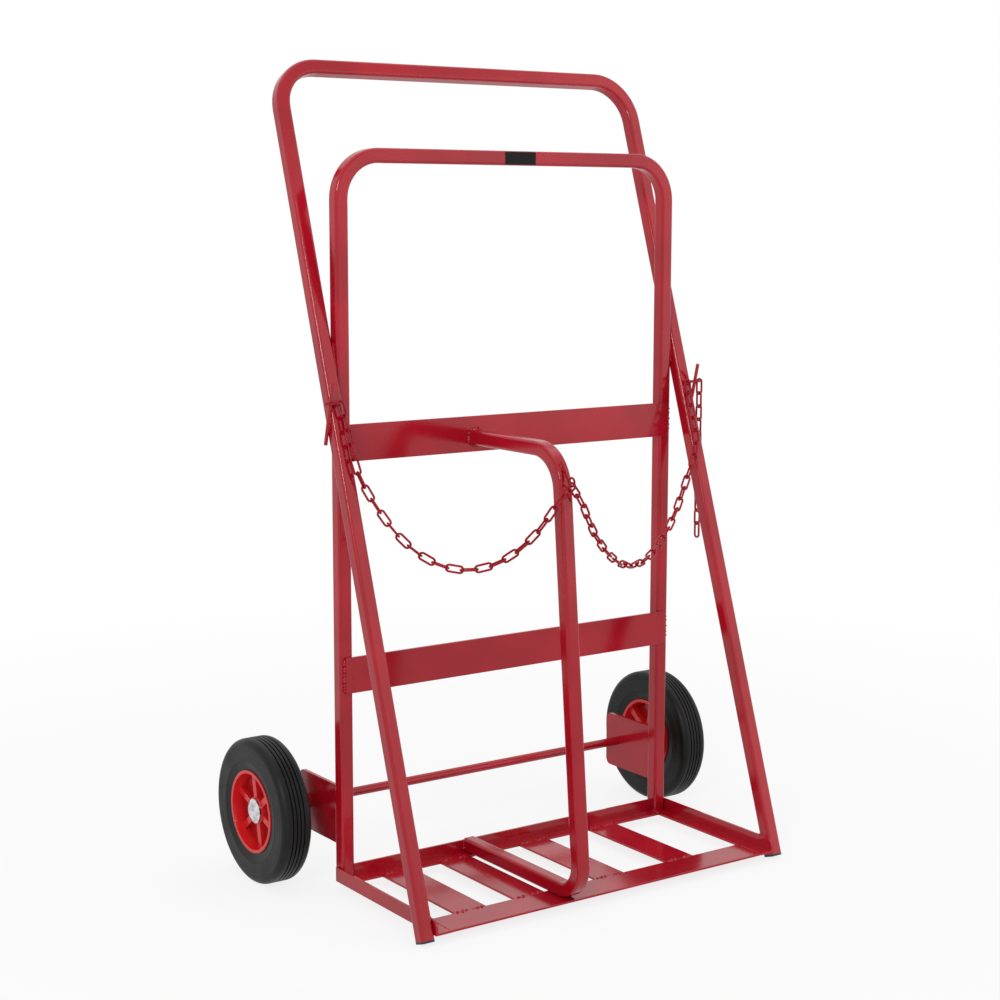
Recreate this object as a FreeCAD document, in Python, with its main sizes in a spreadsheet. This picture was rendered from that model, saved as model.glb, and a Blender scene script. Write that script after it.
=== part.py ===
import FreeCAD, Part
import math
import os
import PartDesign
import Sketcher
from FreeCAD import Placement, Rotation, Vector

# Gas cylinder trolley: a welded tube frame with a two-bay tray, a retaining chain and two wheels.
# Millimetres and degrees. +X is to the right, +Y to the rear, +Z up.
# The origin lies on the floor in the middle of the trolley's outer box.

# Driving dimensions: name, value and meaning
SIZES = [
    ("tube_side", 20, "square tube, across its outside"),
    ("tube_wall", 2, "square tube, wall"),
    ("tube_corner", 4, "square tube, outer corner radius"),
    ("upright_spacing", 555, "between the uprights' centre lines"),
    ("upright_top", 1012, "floor to the top of the upright hoop"),
    ("upright_bend", 58, "bend of the upright hoop, on its centre line"),
    ("hoop_gap", 3, "between an upright and the handle hoop beside it"),
    ("leg_lean", 18.2, "lean of the handle hoop from upright"),
    ("leg_toe", 241.5, "uprights' centre plane to the point where a leg's centre line meets the floor"),
    ("handle_height", 1122, "floor to the centre line of the handle bar"),
    ("handle_bend", 60, "bend of the handle hoop, on its centre line"),
    ("plug_flange", 3, "thickness of the plugs' heads"),
    ("plug_stem", 18, "length of the plugs inside the tube"),
    ("plug_clearance", 0.05, "between a plug and the tube's inside, each side"),
    ("foot_flat", 0.8, "height worn off the plugs' lowest edge"),
    ("tray_height", 12, "floor to the tray's underside"),
    ("sheet_gauge", 3, "thickness of the tray's angles and flats"),
    ("angle_height", 20, "height of the tray's angles"),
    ("angle_corner", 12, "radius at the front of the side angles"),
    ("tray_rear", 3, "uprights' centre plane to the tray's rear face"),
    ("tray_overhang", 9.5, "tray's front edge, ahead of the points where the legs meet the floor"),
    ("front_bar_width", 50, "width of the tray's front bar"),
    ("slat_width", 50, "width of the tray's slats"),
    ("slat_1_left", 3.75, "slat 1, left of the middle of the space between slat 2 and the left upright"),
    ("slat_2_left", 38, "slat 2, left of the divider's centre plane"),
    ("slat_3_right", 99.5, "slat 3, right of the divider's centre plane"),
    ("slat_4_left", 4.5, "slat 4, left of the middle of the space between slat 3 and the right upright"),
    ("flat_edge", 0.5, "edge radius of the flat bars and plates"),
    ("strap_width", 50, "height of the cross straps"),
    ("strap_gauge", 4, "thickness of the cross straps"),
    ("strap_inset", 7, "straps' ends, short of the uprights' outer faces"),
    ("upper_strap_height", 622, "floor to the middle of the upper strap"),
    ("lower_strap_height", 304, "floor to the middle of the lower strap"),
    ("divider_left", 70, "bay divider, left of the middle"),
    ("divider_overhang", 23, "divider's front, ahead of the tray's front edge"),
    ("divider_below", 4.5, "centre line of the divider's upper arm, below the middle of the upper strap"),
    ("divider_lean", 5.1, "lean of the divider's front leg"),
    ("divider_top_bend", 55, "upper bend of the divider, on its centre line"),
    ("divider_foot_bend", 38, "lower bend of the divider, on its centre line"),
    ("pad_width", 12, "width of the weld pads where the hoops cross"),
    ("pad_length", 44, "length of the weld pads where the hoops cross"),
    ("bracket_gauge", 5, "thickness of the axle brackets"),
    ("bracket_margin", 25.4, "axle brackets' rear edge, behind the axle"),
    ("bracket_height", 83, "axle brackets, top to bottom"),
    ("bracket_corner", 10, "radius of the brackets' rear corners"),
    ("axle_diameter", 13, "axle"),
    ("axle_back", 95.6, "uprights' centre plane to the axle"),
    ("axle_fit", 0.05, "between the axle and the fixed pieces on it, each side"),
    ("running_fit", 0.08, "between the axle and the bushes, each side"),
    ("end_play", 0.3, "between a hub and the washer beside it"),
    ("wheel_diameter", 204, "tyre, across its tread"),
    ("wheel_width", 45, "tyre, across its sides"),
    ("wheel_offset", 74.5, "uprights' centre lines to the wheels' middle planes"),
    ("shoulder", 10, "radius of the tyre's shoulders"),
    ("groove_depth", 2.5, "tread grooves, depth"),
    ("groove_width", 2, "tread grooves, width"),
    ("groove_spacing", 5.8, "between tread grooves"),
    ("bead_inset", 3, "tyre's sides at the rim, set in from its width"),
    ("rim_diameter", 116, "wheel centre, across the rim"),
    ("rim_width", 42, "wheel centre, along the axle at the rim"),
    ("rim_wall", 4.5, "wall of the rim at its lips"),
    ("rim_draft", 4, "extra wall of the rim at the web"),
    ("web_gauge", 5, "web between hub and rim"),
    ("hub_diameter", 38, "hub"),
    ("hub_inward", 30, "wheel's middle plane to the hub's inner end"),
    ("hub_outward", 12, "wheel's middle plane to the hub's outer end"),
    ("rib_gauge", 9, "ribs between hub and rim"),
    ("rib_inward", 15, "wheel's middle plane to the ribs' inner edge"),
    ("rib_outward", 11, "wheel's middle plane to the ribs' outer edge"),
    ("rib_turn", 10, "turn of the first rib from straight up or down"),
    ("bush_wall", 4, "wall of the hub bushes"),
    ("bush_length", 15, "length of the hub bushes"),
    ("spacer_wall", 4, "wall of the sleeves on the axle"),
    ("washer_diameter", 34, "washers beside the hubs"),
    ("washer_gauge", 2, "thickness of the washers"),
    ("cap_diameter", 35, "axle caps"),
    ("cap_height", 7, "axle caps, along the axle"),
    ("cap_rim", 1.5, "straight edge of the axle caps"),
    ("cap_socket", 4, "depth of the axle inside its caps"),
    ("hook_diameter", 5, "chain hooks on the legs"),
    ("hook_length", 84, "length of the chain hooks"),
    ("hook_lean", 14, "forward lean of the chain hooks"),
    ("hook_height", 664, "floor to the middle of the chain hooks"),
    ("hook_lead", 8.2, "chain hooks' middle, ahead of the legs' centre line"),
    ("chain_wire", 3, "wire of the chain links"),
    ("link_length", 20, "chain link, inner length"),
    ("link_play", 1, "chain link, inner width over the hooks' diameter"),
    ("link_slack", 0.3, "play between neighbouring links"),
    ("eye_width", 8, "inner width of the ring that the eye's rod is curled into"),
    ("eye_curl", 300, "turn of that ring"),
    ("eye_shank", 31, "eye's rod, from the point where it touches the divider down to its ring"),
    ("eye_head", 2, "eye's rod, above that point"),
    ("eye_lean", 36, "lean of the eye's rod, welded where the divider's upper bend leans as much"),
    ("eye_left", 1, "eye on the divider, left of its centre line"),
    ("left_corner_clear", 12, "left chain's turning point beside the divider, off the tube's side"),
    ("right_corner_clear", 6, "right chain's turning point beside the divider, off the tube's side"),
    ("corner_drop", 22, "both turning points, below the eye's foot"),
    ("left_hooked", 9, "left hooked link, outside its leg's centre line"),
    ("right_hooked", 10, "right hooked link, outside its leg's centre line"),
    ("hooked_fit", 0.05, "between a hooked link and the leg it bears on"),
    ("drape_clear", 2, "between the links of a draped chain and the tube behind them"),
    ("drape_drop", 90.5, "hooked links down to the points where the chain leaves the legs"),
    ("left_sag", 90, "lowest point of the left chain, below its lower end"),
    ("right_sag", 112, "lowest point of the right chain, below its lower end"),
    ("tail_length", 232, "loose end of the chain below its hook"),
]

doc = FreeCAD.newDocument("gas_cylinder_trolley")
sheet = doc.addObject("Spreadsheet::Sheet", "Sizes")


class Dim:
    """A size: its value, and the sheet expression that gives that value."""

    def __init__(self, value, text):
        self.value = value
        self.text = text

    def __add__(self, other):
        other = as_dim(other)
        return Dim(self.value + other.value, f"({self.text} + {other.text})")

    def __sub__(self, other):
        other = as_dim(other)
        return Dim(self.value - other.value, f"({self.text} - {other.text})")

    def __mul__(self, other):
        other = as_dim(other)
        return Dim(self.value * other.value, f"({self.text} * {other.text})")

    def __truediv__(self, other):
        other = as_dim(other)
        return Dim(self.value / other.value, f"({self.text} / {other.text})")

    def __rsub__(self, other):
        return as_dim(other) - self

    def __neg__(self):
        return Dim(-self.value, f"(0 - {self.text})")

    __radd__ = __add__
    __rmul__ = __mul__


def as_dim(number):
    """Give a plain number or a size as a size."""
    if isinstance(number, Dim):
        return number
    return Dim(float(number), repr(float(number)))


def sine(angle):
    """Sine of an angle in degrees."""
    return Dim(math.sin(math.radians(angle.value)), f"sin({angle.text} * 1 deg)")


def cosine(angle):
    """Cosine of an angle in degrees."""
    return Dim(math.cos(math.radians(angle.value)), f"cos({angle.text} * 1 deg)")


def fill_sheet():
    """Write every driving dimension into the sheet and give them by name."""
    sizes = {}
    for row, (name, value, note) in enumerate(SIZES, start=1):
        sheet.set(f"A{row}", name)
        sheet.set(f"B{row}", str(value))
        sheet.set(f"C{row}", note)
        sheet.setAlias(f"B{row}", name)
        sizes[name] = Dim(float(value), f"Sizes.{name}")
    doc.recompute()
    return sizes


S = fill_sheet()

# Sizes worked out from the driving dimensions
HALF_TUBE = S["tube_side"] / 2
TUBE_BORE = S["tube_side"] - S["tube_wall"] * 2
WHEEL_RADIUS = S["wheel_diameter"] / 2
DIVIDER_REACH = S["leg_toe"] + S["tray_overhang"] + S["divider_overhang"]
UPRIGHT_Y = (DIVIDER_REACH - S["axle_back"] - WHEEL_RADIUS) / 2
UPRIGHT_X = S["upright_spacing"] / 2
UPRIGHT_INNER = UPRIGHT_X - HALF_TUBE
UPRIGHT_OUTER = UPRIGHT_X + HALF_TUBE
LEG_INNER = UPRIGHT_OUTER + S["hoop_gap"]
LEG_X = LEG_INNER + HALF_TUBE
LEG_OUTER = LEG_INNER + S["tube_side"]
DECK_TOP = S["tray_height"] + S["sheet_gauge"]
LEG_SLOPE = sine(S["leg_lean"]) / cosine(S["leg_lean"])
PLUG_LOW = (HALF_TUBE * sine(S["leg_lean"]) - S["foot_flat"]) / cosine(S["leg_lean"])
LEG_START = PLUG_LOW + S["plug_flange"]
LEG_FOOT_Y = UPRIGHT_Y - S["leg_toe"] + LEG_START * sine(S["leg_lean"])
LEG_FOOT_Z = LEG_START * cosine(S["leg_lean"])
LEG_HEIGHT = S["handle_height"] / cosine(S["leg_lean"]) - LEG_START
CROSSING_Z = S["leg_toe"] / LEG_SLOPE
TRAY_Y = UPRIGHT_Y + S["tray_rear"]
TRAY_DEPTH = S["leg_toe"] + S["tray_overhang"] + S["tray_rear"]
ANGLE_FLAT = S["tube_side"] + S["sheet_gauge"]
SIDE_FLAT = LEG_INNER - UPRIGHT_INNER
FRONT_BAR_Y = TRAY_Y - TRAY_DEPTH + S["front_bar_width"] / 2
SLAT_LENGTH = TRAY_DEPTH - ANGLE_FLAT - S["front_bar_width"]
SLAT_Y = TRAY_Y - ANGLE_FLAT - SLAT_LENGTH / 2
STRAP_LENGTH = (UPRIGHT_OUTER - S["strap_inset"]) * 2
DIVIDER_HEIGHT = S["upper_strap_height"] - S["divider_below"]
AXLE_Y = UPRIGHT_Y + S["axle_back"]
AXLE_RADIUS = S["axle_diameter"] / 2
BRACKET_LENGTH = S["axle_back"] - HALF_TUBE + S["bracket_margin"]
BRACKET_OUTER = UPRIGHT_X + S["bracket_gauge"] / 2
WHEEL_X = UPRIGHT_X + S["wheel_offset"]
HUB_INNER_X = WHEEL_X - S["hub_inward"]
HUB_OUTER_X = WHEEL_X + S["hub_outward"]
HUB_LENGTH = S["hub_inward"] + S["hub_outward"]
INNER_WASHER_X = HUB_INNER_X - S["end_play"] - S["washer_gauge"]
OUTER_WASHER_X = HUB_OUTER_X + S["end_play"]
CAP_X = OUTER_WASHER_X + S["washer_gauge"]
FIXED_BORE = AXLE_RADIUS + S["axle_fit"]
BUSH_BORE = AXLE_RADIUS + S["running_fit"]
BUSH_RADIUS = BUSH_BORE + S["bush_wall"]
RIM_RADIUS = S["rim_diameter"] / 2


def bind(thing, path, size):
    """Tie one property of an object to a size."""
    thing.setExpression(path, as_dim(size).text)


def place(thing, x=0, y=0, z=0, axis=None, angle=None):
    """Tie an object's position, and its turn about one axis, to sizes."""
    if axis is not None:
        thing.Placement = Placement(Vector(0, 0, 0), Rotation(axis, as_dim(angle).value))
        bind(thing, "Placement.Rotation.Angle", angle)
    bind(thing, "Placement.Base.x", x)
    bind(thing, "Placement.Base.y", y)
    bind(thing, "Placement.Base.z", z)


def new_body(label):
    """Start a body with its own label."""
    body = doc.addObject("PartDesign::Body", label)
    body.Label = label
    return body


def origin_feature(body, role):
    """Find one plane or axis of a body's own origin."""
    return next(item for item in body.Origin.OriginFeatures if item.Role == role)


def new_sketch(body, name, role, x=0, y=0, z=0, turn=None):
    """Start a sketch on one of the body's origin planes, moved in that plane and off it, and turned."""
    sketch = body.newObject("Sketcher::SketchObject", f"{body.Name}_{name}")
    sketch.AttachmentSupport = [(origin_feature(body, role), "")]
    sketch.MapMode = "FlatFace"
    if turn is not None:
        sketch.AttachmentOffset = Placement(Vector(0, 0, 0), Rotation(Vector(0, 0, 1), turn.value))
        bind(sketch, "AttachmentOffset.Rotation.Angle", turn)
    bind(sketch, "AttachmentOffset.Base.x", x)
    bind(sketch, "AttachmentOffset.Base.y", y)
    bind(sketch, "AttachmentOffset.Base.z", z)
    return sketch


def dimension(sketch, kind, *refs):
    """Add a sized constraint; the last argument is its size."""
    size = as_dim(refs[-1])
    index = sketch.addConstraint(Sketcher.Constraint(kind, *refs[:-1], size.value))
    sketch.setExpression(f"Constraints[{index}]", size.text)


def relate(sketch, kind, *refs):
    """Add a constraint without a size."""
    sketch.addConstraint(Sketcher.Constraint(kind, *refs))


def line(sketch, x0, y0, x1, y1):
    """Draw a line and give its number."""
    return sketch.addGeometry(Part.LineSegment(Vector(x0, y0, 0), Vector(x1, y1, 0)))


def arc(sketch, x, y, radius, start, end):
    """Draw an arc, anticlockwise between two angles in degrees, and give its number."""
    circle = Part.Circle(Vector(x, y, 0), Vector(0, 0, 1), radius)
    return sketch.addGeometry(Part.ArcOfCircle(circle, math.radians(start), math.radians(end)))


def ring(sketch, radius):
    """Draw a circle about the sketch's origin."""
    number = sketch.addGeometry(Part.Circle(Vector(0, 0, 0), Vector(0, 0, 1), radius.value))
    relate(sketch, "Coincident", number, 3, -1, 1)
    dimension(sketch, "Radius", number, radius)


def rectangle(sketch, width, height, corners=(0, 0, 0, 0)):
    """Draw a rectangle about the sketch's origin; corners are radii, anticlockwise from the lower left."""
    half_w = width.value / 2
    half_h = height.value / 2
    spots = [(-half_w, -half_h), (half_w, -half_h), (half_w, half_h), (-half_w, half_h)]
    runs = [(1, 0), (0, 1), (-1, 0), (0, -1)]
    radii = [as_dim(corner).value for corner in corners]
    sides = []
    for number, (run_x, run_y) in enumerate(runs):
        following = (number + 1) % 4
        start_x, start_y = spots[number]
        end_x, end_y = spots[following]
        sides.append(line(
            sketch,
            start_x + run_x * radii[number],
            start_y + run_y * radii[number],
            end_x - run_x * radii[following],
            end_y - run_y * radii[following],
        ))
    for number, radius in enumerate(radii):
        before = sides[number - 1]
        after = sides[number]
        if radius == 0:
            relate(sketch, "Coincident", before, 2, after, 1)
            continue
        spot_x, spot_y = spots[number]
        centre_x = spot_x - math.copysign(radius, spot_x)
        centre_y = spot_y - math.copysign(radius, spot_y)
        bend = arc(sketch, centre_x, centre_y, radius, 180 + 90 * number, 270 + 90 * number)
        relate(sketch, "Tangent", before, 2, bend, 1)
        relate(sketch, "Tangent", bend, 2, after, 1)
        dimension(sketch, "Radius", bend, corners[number])
    relate(sketch, "Horizontal", sides[0])
    relate(sketch, "Vertical", sides[1])
    relate(sketch, "Horizontal", sides[2])
    relate(sketch, "Vertical", sides[3])
    dimension(sketch, "DistanceY", sides[0], 1, -1, 1, height / 2)
    dimension(sketch, "DistanceX", -1, 1, sides[1], 1, width / 2)
    dimension(sketch, "DistanceY", -1, 1, sides[2], 1, height / 2)
    dimension(sketch, "DistanceX", sides[3], 1, -1, 1, width / 2)


def outline(sketch, points):
    """Draw a closed outline whose corners are held by their distances from the sketch's origin."""
    count = len(points)
    edges = []
    for number in range(count):
        x0, y0 = points[number]
        x1, y1 = points[(number + 1) % count]
        edges.append(line(sketch, x0.value, y0.value, x1.value, y1.value))
    for number, (x, y) in enumerate(points):
        relate(sketch, "Coincident", edges[number - 1], 2, edges[number], 1)
        hold(sketch, edges[number], 1, x, y)


def hold(sketch, edge, end, x, y):
    """Hold one point of a sketch at its distances from the sketch's origin."""
    if x.value == 0:
        relate(sketch, "PointOnObject", edge, end, -2)
    else:
        dimension(sketch, "DistanceX", -1, 1, edge, end, x)
    if y.value == 0:
        relate(sketch, "PointOnObject", edge, end, -1)
    else:
        dimension(sketch, "DistanceY", -1, 1, edge, end, y)


def pad(body, sketch, length, backward=False):
    """Pad a sketch by a length."""
    doc.recompute()
    feature = body.newObject("PartDesign::Pad", f"{sketch.Name}_pad")
    feature.Profile = sketch
    feature.Reversed = backward
    bind(feature, "Length", length)
    doc.recompute()
    return feature


def soften(body, feature, radius, edges=None):
    """Round every edge of a feature, or only the named ones."""
    fillet = body.newObject("PartDesign::Fillet", f"{body.Name}_edges")
    fillet.Base = (feature, edges or ["Edge1"])
    fillet.UseAllEdges = edges is None
    bind(fillet, "Radius", radius)
    doc.recompute()


def revolve(body, sketch):
    """Turn a sketch once round the body's Z axis."""
    doc.recompute()
    feature = body.newObject("PartDesign::Revolution", f"{body.Name}_turned")
    feature.Profile = sketch
    feature.ReferenceAxis = (origin_feature(body, "Z_Axis"), [""])
    feature.Angle = 360
    doc.recompute()
    return feature


def group(label, pieces):
    """Gather separate solids under one label."""
    compound = doc.addObject("Part::Compound", label)
    compound.Label = label
    compound.Links = pieces
    doc.recompute()
    return compound


# Square tube

def tube_along(body, spine, role, x=0, y=0, z=0):
    """Run the square tube's section along a path drawn in the body."""
    outside = new_sketch(body, "outside", role, x, y, z)
    rectangle(outside, S["tube_side"], S["tube_side"], [S["tube_corner"]] * 4)
    inside = new_sketch(body, "inside", role, x, y, z)
    rectangle(inside, TUBE_BORE, TUBE_BORE, [S["tube_corner"] - S["tube_wall"]] * 4)
    doc.recompute()
    edges = [f"Edge{number + 1}" for number in range(len(spine.Shape.Edges))]
    for kind, section in (("AdditivePipe", outside), ("SubtractivePipe", inside)):
        pipe = body.newObject(f"PartDesign::{kind}", f"{section.Name}_run")
        pipe.Profile = section
        pipe.Spine = (spine, edges)
        doc.recompute()


def hoop(label, half_span, height, bend):
    """Build an upside-down U of square tube, standing on the body's origin."""
    body = new_body(label)
    spine = new_sketch(body, "path", "XZ_Plane")
    side, top, radius = half_span.value, height.value, bend.value
    left = line(spine, -side, 0, -side, top - radius)
    left_bend = arc(spine, radius - side, top - radius, radius, 90, 180)
    bar = line(spine, radius - side, top, side - radius, top)
    right_bend = arc(spine, side - radius, top - radius, radius, 0, 90)
    right = line(spine, side, top - radius, side, 0)
    relate(spine, "Vertical", left)
    relate(spine, "Horizontal", bar)
    relate(spine, "Vertical", right)
    relate(spine, "Tangent", left, 2, left_bend, 2)
    relate(spine, "Tangent", left_bend, 1, bar, 1)
    relate(spine, "Tangent", bar, 2, right_bend, 2)
    relate(spine, "Tangent", right_bend, 1, right, 1)
    relate(spine, "Equal", left_bend, right_bend)
    relate(spine, "PointOnObject", left, 1, -1)
    relate(spine, "PointOnObject", right, 2, -1)
    dimension(spine, "Radius", left_bend, bend)
    dimension(spine, "DistanceX", left, 1, -1, 1, half_span)
    dimension(spine, "DistanceX", -1, 1, right, 2, half_span)
    dimension(spine, "DistanceY", -1, 1, bar, 1, height)
    tube_along(body, spine, "XY_Plane", x=-half_span)
    return body


def build_upright_hoop():
    """The hoop that stands at the rear of the tray."""
    body = hoop("upright_hoop", UPRIGHT_X, S["upright_top"] - HALF_TUBE - DECK_TOP, S["upright_bend"])
    place(body, y=UPRIGHT_Y, z=DECK_TOP)
    return [body]


def build_handle_hoop():
    """The leaning hoop: both legs and the handle bar."""
    body = hoop("handle_hoop", LEG_X, LEG_HEIGHT, S["handle_bend"])
    place(body, y=LEG_FOOT_Y, z=LEG_FOOT_Z, axis=Vector(-1, 0, 0), angle=S["leg_lean"])
    return [body]


def build_divider():
    """The bent tube between the two bays, from the upper strap to the rear angle."""
    body = new_body("bay_divider")
    arm_z = DIVIDER_HEIGHT
    foot_z = DECK_TOP + HALF_TUBE
    top_bend, foot_bend = S["divider_top_bend"], S["divider_foot_bend"]
    lean = S["divider_lean"]
    top_centre_z = arm_z - top_bend
    foot_centre_z = foot_z + foot_bend
    foot_centre_y = HALF_TUBE + foot_bend
    rise = (top_centre_z - foot_centre_z) * sine(lean)
    top_centre_y = foot_centre_y + (rise + top_bend - foot_bend) / cosine(lean)
    arm_end = DIVIDER_REACH - HALF_TUBE - S["strap_gauge"]
    foot_end = DIVIDER_REACH + S["tray_rear"] - S["sheet_gauge"]

    spine = new_sketch(body, "path", "YZ_Plane")
    out_y, out_z = -cosine(lean).value, sine(lean).value
    arm = line(spine, arm_end.value, arm_z.value, top_centre_y.value, arm_z.value)
    upper = arc(spine, top_centre_y.value, top_centre_z.value, top_bend.value, 90, 180 - lean.value)
    leg = line(
        spine,
        top_centre_y.value + out_y * top_bend.value,
        top_centre_z.value + out_z * top_bend.value,
        foot_centre_y.value + out_y * foot_bend.value,
        foot_centre_z.value + out_z * foot_bend.value,
    )
    lower = arc(spine, foot_centre_y.value, foot_centre_z.value, foot_bend.value, 180 - lean.value, 270)
    foot = line(spine, foot_centre_y.value, foot_z.value, foot_end.value, foot_z.value)
    relate(spine, "Horizontal", arm)
    relate(spine, "Horizontal", foot)
    relate(spine, "Tangent", arm, 2, upper, 1)
    relate(spine, "Tangent", upper, 2, leg, 1)
    relate(spine, "Tangent", leg, 2, lower, 1)
    relate(spine, "Tangent", lower, 2, foot, 1)
    dimension(spine, "Radius", upper, top_bend)
    dimension(spine, "Radius", lower, foot_bend)
    hold(spine, upper, 3, top_centre_y, top_centre_z)
    hold(spine, lower, 3, foot_centre_y, foot_centre_z)
    dimension(spine, "DistanceX", -1, 1, arm, 1, arm_end)
    dimension(spine, "DistanceX", -1, 1, foot, 2, foot_end)
    tube_along(body, spine, "XZ_Plane", y=arm_z, z=-arm_end)
    place(body, x=-S["divider_left"], y=UPRIGHT_Y - DIVIDER_REACH)
    return [body]


def build_leg_plugs():
    """The plastic plugs that close the legs' lower ends and stand on the floor."""
    depth = S["tube_side"] * 2
    floor = doc.addObject("Part::Box", "below_floor")
    bind(floor, "Length", LEG_OUTER * 2)
    bind(floor, "Width", depth)
    bind(floor, "Height", HALF_TUBE)
    place(floor, x=-LEG_OUTER, y=LEG_FOOT_Y - depth / 2, z=-HALF_TUBE)
    stem_side = TUBE_BORE - S["plug_clearance"] * 2
    plugs = []
    for name, side in (("left", -1), ("right", 1)):
        blank = new_body(f"{name}_plug_blank")
        head = new_sketch(blank, "head", "XY_Plane")
        rectangle(head, S["tube_side"], S["tube_side"], [S["tube_corner"]] * 4)
        pad(blank, head, S["plug_flange"], backward=True)
        stem = new_sketch(blank, "stem", "XY_Plane")
        rectangle(stem, stem_side, stem_side, [S["tube_wall"]] * 4)
        pad(blank, stem, S["plug_stem"])
        place(blank, LEG_X * side, LEG_FOOT_Y, LEG_FOOT_Z, axis=Vector(-1, 0, 0), angle=S["leg_lean"])
        plug = doc.addObject("Part::Cut", f"{name}_leg_plug")
        plug.Base = blank
        plug.Tool = floor
        plugs.append(plug)
    doc.recompute()
    return plugs


def build_crossing_welds():
    """The pads that join the uprights to the handle hoop where they pass."""
    pads = []
    for name, side in (("left", -1), ("right", 1)):
        body = new_body(f"{name}_crossing_pad")
        face = new_sketch(body, "face", "YZ_Plane", z=-S["hoop_gap"] / 2)
        rectangle(face, S["pad_width"], S["pad_length"], [S["pad_width"] / 3] * 4)
        pad(body, face, S["hoop_gap"])
        middle = (UPRIGHT_OUTER + S["hoop_gap"] / 2) * side
        place(body, middle, UPRIGHT_Y, CROSSING_Z, axis=Vector(-1, 0, 0), angle=S["leg_lean"] / 2)
        pads.append(body)
    return [group("crossing_welds", pads)]


# Straps and tray

def flat_bar(label, length, width, gauge, role):
    """A flat bar about the body's origin, with softened edges."""
    body = new_body(label)
    face = new_sketch(body, "face", role)
    rectangle(face, length, width)
    soften(body, pad(body, face, gauge), S["flat_edge"])
    return body


def build_straps():
    """The two straps across the front of the uprights."""
    straps = []
    for name in ("upper", "lower"):
        strap = flat_bar(f"{name}_strap", STRAP_LENGTH, S["strap_width"], S["strap_gauge"], "XZ_Plane")
        place(strap, y=UPRIGHT_Y - HALF_TUBE, z=S[f"{name}_strap_height"])
        straps.append(strap)
    return straps


def build_rear_angle():
    """The tray's rear angle, between the uprights."""
    body = new_body("rear_base_angle")
    length = UPRIGHT_INNER * 2
    flat = new_sketch(body, "flat", "XY_Plane", y=-ANGLE_FLAT / 2)
    rectangle(flat, length, ANGLE_FLAT)
    pad(body, flat, S["sheet_gauge"])
    upstand = new_sketch(body, "upstand", "XZ_Plane", y=S["angle_height"] / 2)
    rectangle(upstand, length, S["angle_height"])
    pad(body, upstand, S["sheet_gauge"])
    place(body, y=TRAY_Y, z=S["tray_height"])
    return [body]


def build_side_angles():
    """The tray's side angles, which carry the uprights and bear on the legs."""
    angles = []
    for name, side in (("left", -1), ("right", 1)):
        body = new_body(f"{name}_base_angle")
        middle = -TRAY_DEPTH / 2
        flat = new_sketch(body, "flat", "XY_Plane", x=SIDE_FLAT / 2 * -side, y=middle)
        rectangle(flat, SIDE_FLAT, TRAY_DEPTH)
        pad(body, flat, S["sheet_gauge"])
        upstand = new_sketch(body, "upstand", "YZ_Plane", x=middle, y=S["angle_height"] / 2)
        rectangle(upstand, TRAY_DEPTH, S["angle_height"], (0, 0, 0, S["angle_corner"]))
        pad(body, upstand, S["sheet_gauge"], backward=side > 0)
        place(body, LEG_INNER * side, TRAY_Y, S["tray_height"])
        angles.append(body)
    return angles


def build_tray_flats():
    """The tray's front bar and its four slats."""
    bar = flat_bar("front_base_bar", UPRIGHT_INNER * 2, S["front_bar_width"], S["sheet_gauge"], "XY_Plane")
    place(bar, y=FRONT_BAR_Y, z=S["tray_height"])
    flats = [bar]
    half_slat = S["slat_width"] / 2
    slat_2 = -S["divider_left"] - S["slat_2_left"]
    slat_3 = -S["divider_left"] + S["slat_3_right"]
    slat_1 = (slat_2 - half_slat - UPRIGHT_INNER) / 2 - S["slat_1_left"]
    slat_4 = (slat_3 + half_slat + UPRIGHT_INNER) / 2 - S["slat_4_left"]
    for number, spot in enumerate((slat_1, slat_2, slat_3, slat_4), start=1):
        label = f"base_slat_{number}"
        slat = flat_bar(label, S["slat_width"], SLAT_LENGTH, S["sheet_gauge"], "XY_Plane")
        place(slat, spot, SLAT_Y, S["tray_height"])
        flats.append(slat)
    return flats


# Axle and wheels

def build_brackets():
    """The plates behind the uprights that carry the axle."""
    brackets = []
    corner = S["bracket_corner"]
    for name, side in (("left", -1), ("right", 1)):
        body = new_body(f"{name}_axle_bracket")
        face = new_sketch(body, "face", "YZ_Plane", z=-S["bracket_gauge"] / 2)
        rectangle(face, BRACKET_LENGTH, S["bracket_height"], (0, corner, corner, 0))
        hole_y = S["axle_back"] - HALF_TUBE - BRACKET_LENGTH / 2
        hole = face.addGeometry(Part.Circle(Vector(hole_y.value, 0, 0), Vector(0, 0, 1), FIXED_BORE.value))
        relate(face, "PointOnObject", hole, 3, -1)
        dimension(face, "DistanceX", -1, 1, hole, 3, hole_y)
        dimension(face, "Radius", hole, FIXED_BORE)
        pad(body, face, S["bracket_gauge"])
        middle_y = UPRIGHT_Y + HALF_TUBE + BRACKET_LENGTH / 2
        place(body, UPRIGHT_X * side, middle_y, WHEEL_RADIUS)
        brackets.append(body)
    return brackets


def on_axle(thing, side, distance):
    """Put a turned piece on the axle, its own Z axis pointing outward on the given side."""
    place(thing, distance * side, AXLE_Y, WHEEL_RADIUS, axis=Vector(0, side, 0), angle=90)


def sleeve(label, bore, radius, length, side, distance):
    """A plain ring on the axle, from a distance off the middle outward."""
    body = new_body(label)
    face = new_sketch(body, "face", "XY_Plane")
    ring(face, radius)
    ring(face, bore)
    pad(body, face, length)
    on_axle(body, side, distance)
    return body


def build_axle():
    """The axle, from cap to cap."""
    axle = doc.addObject("Part::Cylinder", "axle")
    half = CAP_X + S["cap_socket"]
    bind(axle, "Radius", AXLE_RADIUS)
    bind(axle, "Height", half * 2)
    on_axle(axle, 1, -half)
    return [axle]


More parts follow.
